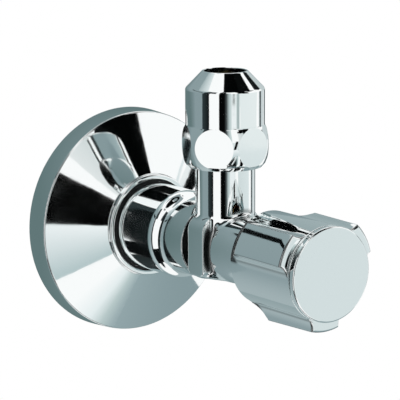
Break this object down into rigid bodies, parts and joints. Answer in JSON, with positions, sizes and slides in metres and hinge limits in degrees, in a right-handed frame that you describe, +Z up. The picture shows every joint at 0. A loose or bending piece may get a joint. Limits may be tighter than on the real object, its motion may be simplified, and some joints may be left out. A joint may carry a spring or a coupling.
{
  "type": "angle valve",
  "caption": "Chromed angle stop valve with a threaded wall inlet, sliding conical rosette, upward compression outlet for a tube and a lobed turning handle.",
  "frame": {"origin": "on the inlet axis, in the plane of the wall face that the rosette's rim rests on", "axes": "+Z up along the outlet, +Y into the wall along the inlet, the handle faces -Y"},
  "size_m": [0.0568, 0.098, 0.0709],
  "materials": {
    "chromed_brass": "polished",
    "chromed_zinc": "polished",
    "brass": "satin",
    "stainless_steel": "satin",
    "nitrile_rubber": "matte",
    "vulcanised_fibre": "matte",
    "acetal": "satin"
  },
  "bodies": {
    "valve": {"valve_body": "chromed_brass", "headwork_housing": "brass", "headwork_gasket": "vulcanised_fibre"},
    "rosette": {"wall_rosette": "chromed_brass", "rosette_grip_ring": "nitrile_rubber"},
    "handle_group": {"handle": "chromed_zinc", "handle_cap": "chromed_zinc", "handle_screw": "stainless_steel", "spindle": "brass", "spindle_o_ring_inner": "nitrile_rubber", "spindle_o_ring_outer": "nitrile_rubber", "thrust_washer": "acetal", "retaining_clip": "stainless_steel"},
    "piston_group": {"valve_piston": "brass", "piston_o_ring": "nitrile_rubber", "seat_washer": "nitrile_rubber", "seat_screw": "stainless_steel"},
    "clamp_rings": {"olive": "brass", "pressure_ring": "stainless_steel"},
    "nut": {"compression_nut": "chromed_brass"}
  },
  "joints": [
    {"name": "handle_turn", "type": "hinge", "parent": "valve", "child": "handle_group", "pos_m": [0, -0.07, 0], "axis": [0, -1, 0], "range_deg": [0, 955]},
    {"name": "piston_travel", "type": "slide", "parent": "valve", "child": "piston_group", "axis": [0, -1, 0], "range_m": [0, 0.004]},
    {"name": "rosette_slide", "type": "slide", "parent": "valve", "child": "rosette", "axis": [0, -1, 0], "range_m": [0, 0.012]},
    {"name": "nut_turn", "type": "hinge", "parent": "clamp_rings", "child": "nut", "pos_m": [0, -0.0436, 0.03], "axis": [0, 0, 1], "range_deg": [0, 2160]},
    {"name": "nut_lift", "type": "slide", "parent": "valve", "child": "clamp_rings", "axis": [0, 0, 1], "range_m": [0, 0.00802]}
  ],
  "couplings": [
    {"joint": "piston_travel", "follows": "handle_turn", "m_per_rad": 0.00023873},
    {"joint": "nut_turn", "follows": "nut_lift", "rad_per_m": 4699.5}
  ]
}
